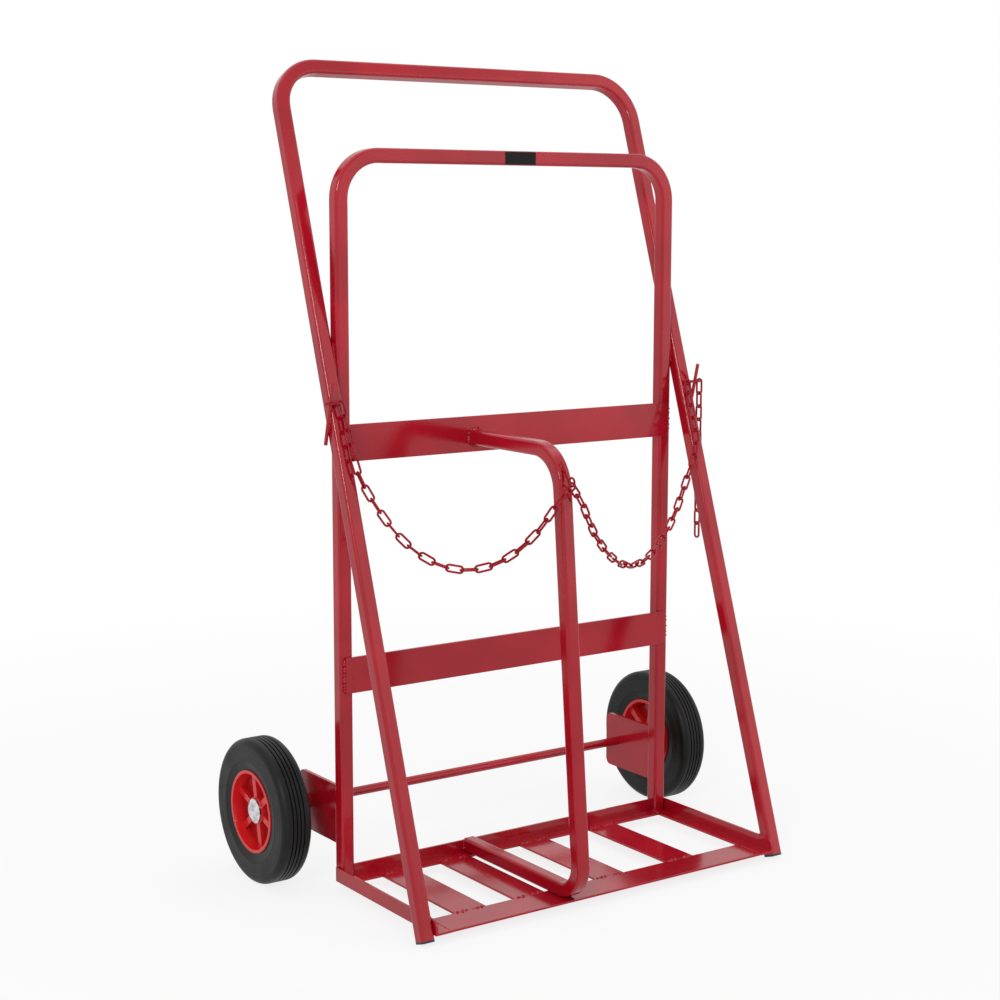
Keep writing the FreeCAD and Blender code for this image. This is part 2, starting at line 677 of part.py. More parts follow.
def build_axle_caps():
    """The domed caps pushed on the axle's ends."""
    caps = []
    radius = S["cap_diameter"] / 2
    dome_rise = S["cap_height"] - S["cap_rim"]
    dome = (radius * radius + dome_rise * dome_rise) / (dome_rise * 2)
    for name, side in (("left", -1), ("right", 1)):
        body = new_body(f"{name}_axle_cap")
        half = new_sketch(body, "half", "XZ_Plane")
        corners = [
            (as_dim(0), S["cap_height"]),
            (as_dim(0), S["cap_socket"]),
            (FIXED_BORE, S["cap_socket"]),
            (FIXED_BORE, as_dim(0)),
            (radius, as_dim(0)),
            (radius, S["cap_rim"]),
        ]
        edges = []
        for (x0, y0), (x1, y1) in zip(corners, corners[1:]):
            edges.append(line(half, x0.value, y0.value, x1.value, y1.value))
        for number, edge in enumerate(edges):
            hold(half, edge, 1, *corners[number])
        for before, after in zip(edges, edges[1:]):
            relate(half, "Coincident", before, 2, after, 1)
        hold(half, edges[-1], 2, *corners[-1])
        low = math.degrees(math.asin(1 - dome_rise.value / dome.value))
        top = arc(half, 0, S["cap_height"].value - dome.value, dome.value, low, 90)
        relate(half, "Coincident", edges[-1], 2, top, 1)
        relate(half, "Coincident", top, 2, edges[0], 1)
        relate(half, "PointOnObject", top, 3, -2)
        revolve(body, half)
        on_axle(body, side, CAP_X)
        caps.append(body)
    return caps


def build_axle_rings():
    """The spacer sleeves and the washers that hold the wheels in place along the axle."""
    rings = []
    washer = S["washer_diameter"] / 2
    for name, side in (("left", -1), ("right", 1)):
        length = INNER_WASHER_X - BRACKET_OUTER
        outside = FIXED_BORE + S["spacer_wall"]
        rings.append(sleeve(f"{name}_wheel_spacer", FIXED_BORE, outside, length, side, BRACKET_OUTER))
        washers = []
        for spot, distance in (("inner", INNER_WASHER_X), ("outer", OUTER_WASHER_X)):
            label = f"{name}_{spot}_washer"
            washers.append(sleeve(label, FIXED_BORE, washer, S["washer_gauge"], side, distance))
        rings.append(group(f"{name}_wheel_washers", washers))
    return rings


def build_tyre(name, side):
    """A tyre with grooves round its tread and rounded shoulders."""
    body = new_body(f"{name}_tyre")
    zero = as_dim(0)
    width = S["wheel_width"]
    bottom = WHEEL_RADIUS - S["groove_depth"]
    belly = RIM_RADIUS + (WHEEL_RADIUS - RIM_RADIUS) / 3
    corners = [(RIM_RADIUS, S["bead_inset"]), (belly, zero), (WHEEL_RADIUS, zero)]
    for step in (-1.5, -0.5, 0.5, 1.5):
        middle = width / 2 + S["groove_spacing"] * step
        near = middle - S["groove_width"] / 2
        far = middle + S["groove_width"] / 2
        corners += [(WHEEL_RADIUS, near), (bottom, near), (bottom, far), (WHEEL_RADIUS, far)]
    corners += [(WHEEL_RADIUS, width), (belly, width), (RIM_RADIUS, width - S["bead_inset"])]
    half = new_sketch(body, "half", "XZ_Plane")
    outline(half, corners)
    turned = revolve(body, half)
    shoulders = []
    for number, edge in enumerate(turned.Shape.Edges, start=1):
        box = edge.BoundBox
        at_side = min(abs(box.ZMin), abs(box.ZMin - width.value)) < 0.01
        flat = box.ZLength < 0.01
        if flat and at_side and abs(box.XMax - WHEEL_RADIUS.value) < 0.01:
            shoulders.append(f"Edge{number}")
    soften(body, turned, S["shoulder"], shoulders)
    on_axle(body, side, WHEEL_X - width / 2)
    return body


def build_wheel_centre(name, side):
    """A wheel centre: hub, web, rim and six ribs."""
    body = new_body(f"{name}_wheel_centre")
    zero = as_dim(0)
    middle = S["hub_inward"]
    hub = S["hub_diameter"] / 2
    web = S["web_gauge"] / 2
    rim = S["rim_width"] / 2
    lip = RIM_RADIUS - S["rim_wall"]
    root = lip - S["rim_draft"]
    half = new_sketch(body, "half", "XZ_Plane")
    outline(half, [
        (BUSH_RADIUS, zero),
        (hub, zero),
        (hub, middle - web),
        (root, middle - web),
        (lip, middle - rim),
        (RIM_RADIUS, middle - rim),
        (RIM_RADIUS, middle + rim),
        (lip, middle + rim),
        (root, middle + web),
        (hub, middle + web),
        (hub, HUB_LENGTH),
        (BUSH_RADIUS, HUB_LENGTH),
    ])
    revolve(body, half)
    inner_end = (BUSH_RADIUS + hub) / 2
    outer_end = (root + RIM_RADIUS) / 2
    rib_middle = (inner_end + outer_end) / 2
    turn = S["rib_turn"]
    rib_face = new_sketch(body, "rib", "XY_Plane", rib_middle * cosine(turn), rib_middle * sine(turn),
                          middle - S["rib_inward"], turn)
    rectangle(rib_face, outer_end - inner_end, S["rib_gauge"])
    rib = pad(body, rib_face, S["rib_inward"] + S["rib_outward"])
    ribs = body.newObject("PartDesign::PolarPattern", f"{body.Name}_ribs")
    ribs.Originals = [rib]
    ribs.Axis = (origin_feature(body, "Z_Axis"), [""])
    ribs.Angle = 360
    ribs.Occurrences = 6
    body.Tip = ribs
    doc.recompute()
    on_axle(body, side, HUB_INNER_X)
    return body


def build_wheels():
    """Both wheels: tyre, centre and a pair of bushes each."""
    pieces = []
    for name, side in (("left", -1), ("right", 1)):
        pieces.append(build_tyre(name, side))
        pieces.append(build_wheel_centre(name, side))
        bushes = []
        for spot, distance in (("inner", HUB_INNER_X), ("outer", HUB_OUTER_X - S["bush_length"])):
            label = f"{name}_{spot}_bush"
            bushes.append(sleeve(label, BUSH_BORE, BUSH_RADIUS, S["bush_length"], side, distance))
        pieces.append(group(f"{name}_wheel_bushes", bushes))
    return pieces


# Chain and what it hangs on

def build_chain_hooks():
    """The rods on the outer sides of the legs."""
    hooks = []
    radius = S["hook_diameter"] / 2
    half = S["hook_length"] / 2
    middle_y = UPRIGHT_Y - S["leg_toe"] + S["hook_height"] * LEG_SLOPE - S["hook_lead"]
    for name, side in (("left", -1), ("right", 1)):
        rod = doc.addObject("Part::Cylinder", f"{name}_chain_hook")
        bind(rod, "Radius", radius)
        bind(rod, "Height", S["hook_length"])
        foot_y = middle_y + half * sine(S["hook_lean"])
        foot_z = S["hook_height"] - half * cosine(S["hook_lean"])
        place(rod, (LEG_OUTER + radius) * side, foot_y, foot_z, axis=Vector(1, 0, 0), angle=S["hook_lean"])
        hooks.append(rod)
    return hooks


def size(name):
    """Read one driving dimension from the sheet."""
    return float(sheet.get(name))


WIRE = size("chain_wire")
LINK_LENGTH = size("link_length")
LINK_WIDTH = size("hook_diameter") + size("link_play")
LINK_TIP = (LINK_LENGTH + WIRE) / 2
LINK_SIDE = (LINK_WIDTH + WIRE) / 2
LINK_PITCH = LINK_LENGTH - size("link_slack")
LEAN = math.radians(size("leg_lean"))
LEG_UP = Vector(0, math.sin(LEAN), math.cos(LEAN))
DIVIDER_LEAN = math.radians(size("divider_lean"))
RIGHT = Vector(1, 0, 0)
BACK = Vector(0, 1, 0)
UP = Vector(0, 0, 1)


def oval(inner_length, inner_width, middle, along, across):
    """An oval of chain wire, its long axis and its width pointing the given ways."""
    along = Vector(along).normalize()
    across = (across - along * across.dot(along)).normalize()
    side = across * ((inner_width + WIRE) / 2)
    straight = along * ((inner_length - inner_width) / 2)
    tip = along * ((inner_length + WIRE) / 2)
    path = Part.Wire([
        Part.makeLine(middle - straight + side, middle + straight + side),
        Part.Arc(middle + straight + side, middle + tip, middle + straight - side).toShape(),
        Part.makeLine(middle + straight - side, middle - straight - side),
        Part.Arc(middle - straight - side, middle - tip, middle - straight + side).toShape(),
    ])
    section = Part.Wire(Part.makeCircle(WIRE / 2, middle - straight + side, along))
    return path.makePipeShell([section], True, False)


def curled_rod(touch, along, out, radius):
    """A rod of chain wire welded on where it touches, its lower end curled outward into an open ring."""
    head = touch - along * size("eye_head")
    neck = touch + along * size("eye_shank")
    middle = neck + out * radius
    ring = []
    for turn in (0, size("eye_curl") / 2, size("eye_curl")):
        angle = math.radians(turn)
        ring.append(middle + along * (radius * math.sin(angle)) - out * (radius * math.cos(angle)))
    path = Part.Wire([Part.makeLine(head, neck), Part.Arc(*ring).toShape()])
    section = Part.Wire(Part.makeCircle(WIRE / 2, head, along))
    return path.makePipeShell([section], True, False), middle


def leg_front(height):
    """How far back the legs' front faces lie at a height."""
    middle = UPRIGHT_Y.value - size("leg_toe") + height * math.tan(LEAN)
    return middle - size("tube_side") / 2 / math.cos(LEAN)


def divider_front(height):
    """How far back the divider's front face lies at a height."""
    bend = size("divider_foot_bend") + size("tube_side") / 2
    bend_z = DECK_TOP.value + bend
    bend_y = UPRIGHT_Y.value - DIVIDER_REACH.value + bend
    return bend_y - bend / math.cos(DIVIDER_LEAN) + (height - bend_z) * math.tan(DIVIDER_LEAN)


def divider_bend(lean):
    """Point of the divider's upper bend, on its outer face, where that face leans by an angle."""
    bend = size("divider_top_bend")
    radius = bend + size("tube_side") / 2
    middle_z = DIVIDER_HEIGHT.value - bend
    middle_y = divider_front(middle_z) + radius / math.cos(DIVIDER_LEAN)
    return Vector(0, middle_y - radius * math.cos(lean), middle_z + radius * math.sin(lean))


def hooked_spot():
    """How far back and how high a link threaded on a chain hook comes to rest on the leg's front."""
    hook_slope = math.tan(math.radians(size("hook_lean")))
    half_width = LINK_SIDE + (WIRE / 2 + size("hooked_fit")) / math.cos(LEAN)
    height = size("hook_height")
    rod_y = UPRIGHT_Y.value - size("leg_toe") + height * math.tan(LEAN) - size("hook_lead")
    rise = (rod_y - leg_front(height) + half_width) / (hook_slope + math.tan(LEAN))
    return rod_y - rise * hook_slope, height + rise


def hanging(start, end, sag):
    """Points of a chain that hangs freely between two points, down to a given depth below the lower one."""
    span = math.hypot(end.x - start.x, end.y - start.y)
    lowest = min(start.z, end.z) - sag
    halvings = 80
    low, high = 1.0, 10000.0
    for _ in range(halvings):
        scale = (low + high) / 2
        fall = scale * math.acosh(1 + (start.z - lowest) / scale)
        climb = scale * math.acosh(1 + (end.z - lowest) / scale)
        if fall + climb < span:
            low = scale
        else:
            high = scale
    points = []
    steps = 12
    for step in range(steps + 1):
        share = step / steps
        point = start + (end - start) * share
        point.z = lowest + scale * (math.cosh((span * share - fall) / scale) - 1)
        points.append(point)
    return points


def links_along(points, first_across, last_facing):
    """Ovals threaded end to end along a smooth path, each turned a quarter from the one before.

    The first link's width points the first given way; the last link's flat side faces the last given way.
    Gives the links and the points where they meet.
    """
    curve = Part.BSplineCurve()
    curve.interpolate(points)
    path = curve.toShape()
    count = math.ceil(path.Length / LINK_PITCH)
    pitch = path.Length / count
    joints = [path.valueAt(path.getParameterByLength(pitch * number)) for number in range(count)]
    joints.append(points[-1])
    across = first_across
    frames = []
    for start, end in zip(joints, joints[1:]):
        along = (end - start).normalize()
        across = (across - along * across.dot(along)).normalize()
        frames.append(((start + end) / 2, along, across))
    last = Rotation(along, 90 * ((count - 1) % 2)).multVec(across)
    wanted = last_facing.cross(along).normalize()
    twist = math.degrees(math.atan2(last.cross(wanted).dot(along), last.dot(wanted)))
    if abs(twist) > 90:
        twist -= math.copysign(180, twist)
    links = []
    for number, (middle, along, across) in enumerate(frames):
        turn = twist * number / (count - 1) + 90 * (number % 2)
        links.append(oval(LINK_LENGTH, LINK_WIDTH, middle, along, Rotation(along, turn).multVec(across)))
    return links, joints


def nearest(points, target):
    """Number of the point nearest to a target."""
    return min(range(len(points)), key=lambda number: points[number].distanceToPoint(target))


def chain_piece(label, links, start):
    """Store a run of links as one labelled group of separate solids, placed at its starting point."""
    feature = doc.addObject("Part::Feature", label)
    feature.Label = label
    feature.Shape = Part.Compound([link.translated(-start) for link in links])
    feature.Placement = Placement(start, Rotation())
    return feature


def build_chain():
    """The chain: hooked links, the two hanging runs, the loose tail and the eye on the divider."""
    gap = LINK_SIDE + WIRE / 2 + size("drape_clear")
    hooked_y, hooked_z = hooked_spot()
    leave_z = hooked_z - size("drape_drop")
    middle_z = (hooked_z + leave_z) / 2
    divider_x = -size("divider_left")

    eye_lean = math.radians(size("eye_lean"))
    eye_down = Vector(0, -math.sin(eye_lean), -math.cos(eye_lean))
    eye_out = Vector(0, -math.cos(eye_lean), math.sin(eye_lean))
    eye_radius = (size("eye_width") + WIRE) / 2
    touch = divider_bend(eye_lean) + eye_out * (WIRE / 2) + RIGHT * (divider_x - size("eye_left"))
    eye, eye_middle = curled_rod(touch, eye_down, eye_out, eye_radius)
    pieces = [chain_piece("divider_chain_eye", [eye], eye_middle)]
    apart = WIRE / 2 + size("link_slack")
    eye_foot = eye_middle - UP * math.sqrt(eye_radius ** 2 - apart ** 2)

    for name, side in (("left", -1), ("right", 1)):
        outward = RIGHT * side
        hooked = Vector((LEG_X.value + size(f"{name}_hooked")) * side, hooked_y, hooked_z)
        hooked_link = oval(LINK_LENGTH, LINK_WIDTH, hooked, RIGHT, BACK)
        top = hooked - outward * LINK_TIP + LEG_UP * (WIRE / 2 + size("link_slack"))
        leave = Vector(LEG_INNER.value * side, leg_front(leave_z) - gap, leave_z)
        middle = Vector((top.x + leave.x) / 2, leg_front(middle_z) - gap, middle_z)

        seat = eye_foot + BACK * (apart * side)
        corner_reach = size("tube_side") / 2 + size(f"{name}_corner_clear")
        corner = Vector(divider_x + corner_reach * side, 0, seat.z - size("corner_drop"))
        corner.y = divider_front(corner.z) - gap
        run = hanging(leave, corner, size(f"{name}_sag"))
        end = seat + (seat - corner).normalize() * (WIRE / 2 + size("link_slack"))
        links, joints = links_along([top, middle] + run + [end], RIGHT, BACK)
        first = nearest(joints, leave)
        last = nearest(joints, corner)
        pieces.append(chain_piece(f"{name}_hooked_links", [hooked_link] + links[:first], hooked))
        pieces.append(chain_piece(f"{name}_chain", links[first:last], joints[first]))
        pieces.append(chain_piece(f"{name}_divider_links", links[last:], joints[last]))

    tail_top = hooked + outward * LINK_TIP + UP * (WIRE / 2)
    count = round(size("tail_length") / LINK_PITCH)
    tail = []
    for number in range(count):
        middle = tail_top - UP * (LINK_PITCH * (number + 0.5))
        across = BACK if number % 2 else RIGHT
        tail.append(oval(LINK_LENGTH, LINK_WIDTH, middle, -UP, across))
    pieces.append(chain_piece("chain_tail", tail, tail_top))
    return pieces


def build_all():
    """Build every piece in order."""
    pieces = []
    for build in (
        build_upright_hoop, build_handle_hoop, build_divider, build_leg_plugs, build_crossing_welds,
        build_straps, build_rear_angle, build_side_angles, build_tray_flats, build_brackets, build_axle,
        build_axle_rings, build_axle_caps, build_wheels, build_chain_hooks, build_chain,
    ):
        pieces += build()
    doc.recompute()
    return pieces


def write_parts(pieces):
    """Check every object and write each piece to its own file."""
    for thing in doc.Objects:
        if "Invalid" in thing.State or "Error" in thing.State:
            raise RuntimeError(f"{thing.Label} did not compute: {thing.getStatusString()}")
    os.makedirs("parts", exist_ok=True)
    for piece in pieces:
        if piece.Shape.isNull() or not piece.Shape.isValid():
            raise RuntimeError(f"{piece.Label} has no sound shape")
        piece.Shape.exportStep(f"parts/{piece.Label}.step")


write_parts(build_all())
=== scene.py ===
"""Looks of a gas cylinder trolley: finishes, weld beads, a bare label and the studio round the CAD part."""

import logging
import math
import random
from dataclasses import dataclass, field
from enum import Enum
from functools import cached_property
from typing import Any, Sequence

import bpy
from mathutils import Matrix, Vector


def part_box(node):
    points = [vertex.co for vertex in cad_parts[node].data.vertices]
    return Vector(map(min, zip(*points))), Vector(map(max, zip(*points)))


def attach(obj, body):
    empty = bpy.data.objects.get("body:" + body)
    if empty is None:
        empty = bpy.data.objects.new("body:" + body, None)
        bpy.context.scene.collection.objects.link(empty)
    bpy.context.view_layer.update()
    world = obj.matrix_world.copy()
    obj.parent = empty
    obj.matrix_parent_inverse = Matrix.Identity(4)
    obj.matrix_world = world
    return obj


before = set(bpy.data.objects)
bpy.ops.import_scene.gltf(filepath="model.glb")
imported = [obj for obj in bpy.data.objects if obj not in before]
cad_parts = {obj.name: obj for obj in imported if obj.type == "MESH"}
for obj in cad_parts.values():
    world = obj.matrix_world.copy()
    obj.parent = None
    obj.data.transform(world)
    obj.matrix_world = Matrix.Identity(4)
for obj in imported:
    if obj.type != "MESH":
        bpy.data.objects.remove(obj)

logging.basicConfig(level=logging.INFO, format="%(message)s")
log = logging.getLogger("trolley")

Colour = tuple[float, float, float]
Place = tuple[float, float, float]
Span = tuple[float, float]
Owner = bpy.types.Material | bpy.types.World

WHITE: Colour = (1.0, 1.0, 1.0)
RIGHTWARD = Vector((1.0, 0.0, 0.0))
FORWARD = Vector((0.0, -1.0, 0.0))
UPWARD = Vector((0.0, 0.0, 1.0))


class Side(Enum):
    """The trolley's two sides, seen from its front."""

    LEFT = -1
    RIGHT = 1

    @property
    def word(self) -> str:
        """The side's name as it stands in node names."""
        return self.name.lower()

    def outer(self, low: Vector, high: Vector) -> float:
        """The X of a box's face that looks away from the trolley's middle."""
        return high.x if self is Side.RIGHT else low.x

    def inner(self, low: Vector, high: Vector) -> float:
        """The X of a box's face that looks towards the trolley's middle."""
        return low.x if self is Side.RIGHT else high.x


@dataclass(frozen=True)
class Cloud:
    """A cloudy pattern: its scale per metre, its finer layers and how strong these are."""

    scale: float
    detail: float = 3.0
    roughness: float = 0.5


@dataclass(frozen=True)
class Weld:
    """A weld bead's mean radius in metres, and its lumps' height as a share of that radius."""

    radius: float
    ripple: float = 0.26


class Wire:
    """One output of a node tree that can be reckoned with like a number, a vector or a colour."""

    def __init__(self, graph: "Graph", socket: bpy.types.NodeSocket) -> None:
        """Hold an output and the tree that it belongs to."""
        self.graph = graph
        self.socket = socket

    def reckon(self, operation: str, other: Any, swapped: bool = False) -> "Wire":
        """Join this output and another value by one operation.

        Args:
            operation: Name of the operation, as Math nodes have it.
            other: A wire, a number, or a tuple.
            swapped: Whether the other value comes first.

        Returns:
            The result's wire.
        """
        first, second = (other, self) if swapped else (self, other)
        kinds = [value.socket.type for value in (first, second) if isinstance(value, Wire)]
        if "RGBA" in kinds:
            settings = {"data_type": "RGBA", "blend_type": operation, "clamp_result": False}
            inputs = {"Factor": 1.0, "A": first, "B": second}
            return self.graph.make("ShaderNodeMix", settings, inputs, "Result")
        kind = "ShaderNodeVectorMath" if "VECTOR" in kinds else "ShaderNodeMath"
        return self.graph.make(kind, {"operation": operation}, {0: first, 1: second})

    def __add__(self, other: Any) -> "Wire":
        """This plus another value."""
        return self.reckon("ADD", other)

    def __radd__(self, other: Any) -> "Wire":
        """Another value plus this."""
        return self.reckon("ADD", other, swapped=True)

    def __sub__(self, other: Any) -> "Wire":
        """This less another value."""
        return self.reckon("SUBTRACT", other)

    def __rsub__(self, other: Any) -> "Wire":
        """Another value less this."""
        return self.reckon("SUBTRACT", other, swapped=True)

    def __mul__(self, other: Any) -> "Wire":
        """This times another value."""
        return self.reckon("MULTIPLY", other)

    def __rmul__(self, other: Any) -> "Wire":
        """Another value times this."""
        return self.reckon("MULTIPLY", other, swapped=True)

    def __pow__(self, other: Any) -> "Wire":
        """This to the power of another value."""
        return self.reckon("POWER", other)

    def __rpow__(self, other: Any) -> "Wire":
        """Another value to the power of this."""
        return self.reckon("POWER", other, swapped=True)

    def __abs__(self) -> "Wire":
        """This without its sign, where it is a number."""
        return self.graph.make("ShaderNodeMath", {"operation": "ABSOLUTE"}, {0: self})

    def beside(self, name: str) -> "Wire":
        """Another output of the same node."""
        return Wire(self.graph, self.socket.node.outputs[name])


class Graph:
    """The node tree of a material or of the world, with short ways to add what the finishes need."""

    def __init__(self, owner: Owner) -> None:
        """Start an empty tree.

        Args:
            owner: The material or world that the tree belongs to.
        """
        owner.use_nodes = True
        self.owner = owner
        self.tree = owner.node_tree
        self.tree.nodes.clear()

    @cached_property
    def place(self) -> Wire:
        """Position on the object, in metres."""
        return self.make("ShaderNodeTexCoord", {}, {}, "Object")

    @cached_property
    def seen(self) -> Wire:
        """One for rays that show a background: from the camera, in reflections and through glass."""
        camera = self.make("ShaderNodeLightPath", {}, {}, "Is Camera Ray")
        return camera + camera.beside("Is Glossy Ray") + camera.beside("Is Transmission Ray")

    def node(self, kind: str, settings: dict[str, Any], inputs: dict[Any, Any]) -> bpy.types.Node:
        """Add one node.

        Args:
            kind: The node's type name.
            settings: Properties set on the node before anything is linked.
            inputs: Socket names or numbers with the values or wires that they take. One number given
                to a colour or a vector counts for all three of its lengths.

        Returns:
            The new node.
        """
        node = self.tree.nodes.new(kind)
        for name, value in settings.items():
            setattr(node, name, value)
        for name, value in inputs.items():
            socket = self.find(node.inputs, name)
            if isinstance(value, Wire):
                self.tree.links.new(value.socket, socket)
                continue
            if socket.type in ("RGBA", "VECTOR") and isinstance(value, (int, float)):
                value = (value, value, value)
            socket.default_value = (*value, 1.0) if socket.type == "RGBA" else value
        return node

    def make(self, kind: str, settings: dict[str, Any], inputs: dict[Any, Any], output: Any = 0) -> Wire:
        """Add one node, as the method node does, and give its output of that name or number."""
        return Wire(self, self.find(self.node(kind, settings, inputs).outputs, output))

    @staticmethod
    def find(sockets: Any, name: Any) -> bpy.types.NodeSocket:
        """Look a socket up.

        Args:
            sockets: All inputs or all outputs of a node.
            name: The socket's name or number.

        Returns:
            The socket of that number, or the one of that name that is in use.
        """
        if isinstance(name, int):
            return sockets[name]
        return next(socket for socket in sockets if socket.name == name and socket.enabled)

    def noise(self, cloud: Cloud) -> Wire:
        """Cloudy values round one half, spread over the surface."""
        inputs = {"Scale": cloud.scale, "Detail": cloud.detail, "Roughness": cloud.roughness}
        return self.make("ShaderNodeTexNoise", {}, {"Vector": self.place, **inputs}, "Fac")

    def ramp(self, value: Wire, edges: Span, onto: Span = (0.0, 1.0)) -> Wire:
        """Map a range of values smoothly onto another range.

        Args:
            value: What is mapped.
            edges: Start and end of its range.
            onto: What the start and the end become.

        Returns:
            The mapped values.
        """
        settings = {"interpolation_type": "SMOOTHSTEP"}
        inputs = {"From Min": edges[0], "From Max": edges[1], "To Min": onto[0], "To Max": onto[1]}
        return self.make("ShaderNodeMapRange", settings, {"Value": value, **inputs})

    def mix(self, share: Wire, first: Any, second: Any) -> Wire:
        """Blend two colours by a share of the second."""
        inputs = {"Factor": share, "A": first, "B": second}
        return self.make("ShaderNodeMix", {"data_type": "RGBA"}, inputs, "Result")

    def parts(self, vector: Wire) -> tuple[Wire, Wire, Wire]:
        """The three lengths of a vector."""
        first = self.make("ShaderNodeSeparateXYZ", {}, {"Vector": vector}, "X")
        return first, first.beside("Y"), first.beside("Z")

    def bump(self, height: Wire, distance: float) -> Wire:
        """A surface roughened by a height in shares of a distance in metres."""
        return self.make("ShaderNodeBump", {}, {"Strength": 1.0, "Distance": distance, "Height": height})

    def principled(self, **inputs: Any) -> Wire:
        """Add one principled surface.

        Args:
            inputs: Its sockets by their names in small letters, with their values or wires.

        Returns:
            The surface.
        """
        named = {}
        for name, value in inputs.items():
            named[name.replace("_", " ").title().replace("Ior", "IOR")] = value
        return self.make("ShaderNodeBsdfPrincipled", {}, named)

    def finish(self, surface: Wire) -> Owner:
        """Lead a surface to the output.

        Args:
            surface: What the material or world shows.

        Returns:
            The material or world.
        """
        kind = "World" if isinstance(self.owner, bpy.types.World) else "Material"
        self.node(f"ShaderNodeOutput{kind}", {}, {"Surface": surface})
        return self.owner


def material_graph(name: str) -> Graph:
    """Start a material of that name."""
    return Graph(bpy.data.materials.new(name))


@dataclass(frozen=True)
class RedPaint:
    """Gloss red powder coat with a fine orange-peel surface and faint scuffs."""

    name: str = "red_powder_coat"
    deep: Colour = (0.34, 0.003, 0.012)
    light: Colour = (0.42, 0.005, 0.017)
    dust: Colour = (0.50, 0.10, 0.11)
    gloss: float = 0.13
    shine: float = 0.37
    clouds: Cloud = Cloud(9.0, 4.0)
    cloud_edges: Span = (0.35, 0.65)
    scuffs: Cloud = Cloud(34.0, 6.0, 0.7)
    scuff_edges: Span = (0.63, 0.78)
    scuff_paleness: float = 0.10
    scuff_dulling: float = 0.10
    fine: Cloud = Cloud(70.0, 4.0, 0.6)
    fine_dulling: float = 0.06
    fine_height: float = 0.5
    peel: Cloud = Cloud(420.0, 2.0, 0.4)
    peel_depth: float = 0.00007
    lumps: Cloud = Cloud(260.0, 3.0, 0.6)
    lump_height: float = 0.0

    def material(self) -> bpy.types.Material:
        """Build the finish.

        Returns:
            The material.
        """
        graph = material_graph(self.name)
        clouds = graph.ramp(graph.noise(self.clouds), self.cloud_edges)
        fine = graph.noise(self.fine)
        scuffs = graph.ramp(graph.noise(self.scuffs), self.scuff_edges)
        colour = graph.mix(clouds, self.deep, self.light)
        height = graph.noise(self.peel) + fine * self.fine_height
        if self.lump_height:
            height = height + graph.noise(self.lumps) * self.lump_height
        dulling = fine * self.fine_dulling + scuffs * self.scuff_dulling
        return graph.finish(graph.principled(
            base_color=graph.mix(scuffs * self.scuff_paleness, colour, self.dust),
            roughness=dulling + (self.gloss - self.fine_dulling / 2),
            normal=graph.bump(height, self.peel_depth),
            specular_ior_level=self.shine,
        ))


@dataclass(frozen=True)
class RedPlastic:
    """Moulded bright red plastic of the wheel centres, with painted shade darkening the web between the
    ribs, where the pockets lie in shadow.
    """

    web: float
    name: str = "red_wheel_plastic"
    base: Colour = (0.64, 0.012, 0.016)
    worn: Colour = (0.70, 0.03, 0.03)
    worn_share: float = 0.5
    # Painted shade: a deep red laid on the web between the ribs in place of the pockets' shadow, with its
    # strength and its reach from the web.
    grime: Colour = (0.20, 0.003, 0.006)
    grime_share: float = 0.6
    grime_reach: float = 0.012
    gloss: float = 0.12
    dulling: float = 0.08
    shine: float = 0.3
    clouds: Cloud = Cloud(26.0, 4.0)
    cloud_edges: Span = (0.4, 0.7)
    grain: Cloud = Cloud(900.0, 2.0)
    grain_depth: float = 0.00004

    def material(self) -> bpy.types.Material:
        """Build the finish.

        Returns:
            The material.
        """
        graph = material_graph(self.name)
        clouds = graph.ramp(graph.noise(self.clouds), self.cloud_edges)
        right, _, _ = graph.parts(graph.place)
        from_web = abs(abs(right) - self.web)
        # Painted shade: darkest on the web's plane and fading out towards the ribs' edges, standing in for
        # the shadow in the pockets.
        painted_shade_mask = graph.ramp(from_web, (0.0, self.grime_reach), (self.grime_share, 0.0))
        colour = graph.mix(clouds * self.worn_share, self.base, self.worn)
        return graph.finish(graph.principled(
            base_color=graph.mix(painted_shade_mask, colour, self.grime),
            roughness=clouds * self.dulling + self.gloss,
            normal=graph.bump(graph.noise(self.grain), self.grain_depth),
            specular_ior_level=self.shine,
        ))


@dataclass(frozen=True)
class Rubber:
    """Solid black rubber with fine rings pressed into the sidewalls."""

    axle: Span
    name: str = "tyre_rubber"
    base: Colour = (0.005, 0.005, 0.005)
    dusty: Colour = (0.014, 0.014, 0.013)
    dusty_share: float = 0.45
    gloss: float = 0.40
    dulling: float = 0.15
    shine: float = 0.20
    rings: tuple[float, ...] = (0.070, 0.0725, 0.0865)
    ring_half: float = 0.0009
    ring_depth: float = 0.0005
    clouds: Cloud = Cloud(22.0, 5.0, 0.6)
    cloud_edges: Span = (0.38, 0.72)
    grain: Cloud = Cloud(650.0)
    grain_height: float = 0.25

    def material(self) -> bpy.types.Material:
        """Build the finish.

        Returns:
            The material.
        """
        graph = material_graph(self.name)
        _, back, up = graph.parts(graph.place)
        away = ((back - self.axle[0]) ** 2.0 + (up - self.axle[1]) ** 2.0) ** 0.5
        clouds = graph.ramp(graph.noise(self.clouds), self.cloud_edges)
        height = graph.noise(self.grain) * self.grain_height
        for ring in self.rings:
            height = height + graph.ramp((away - ring) ** 2.0, (0.0, self.ring_half ** 2), (1.0, 0.0))
        return graph.finish(graph.principled(
            base_color=graph.mix(clouds * self.dusty_share, self.base, self.dusty),
            roughness=clouds * self.dulling + self.gloss,
            normal=graph.bump(height, self.ring_depth),
            specular_ior_level=self.shine,
        ))


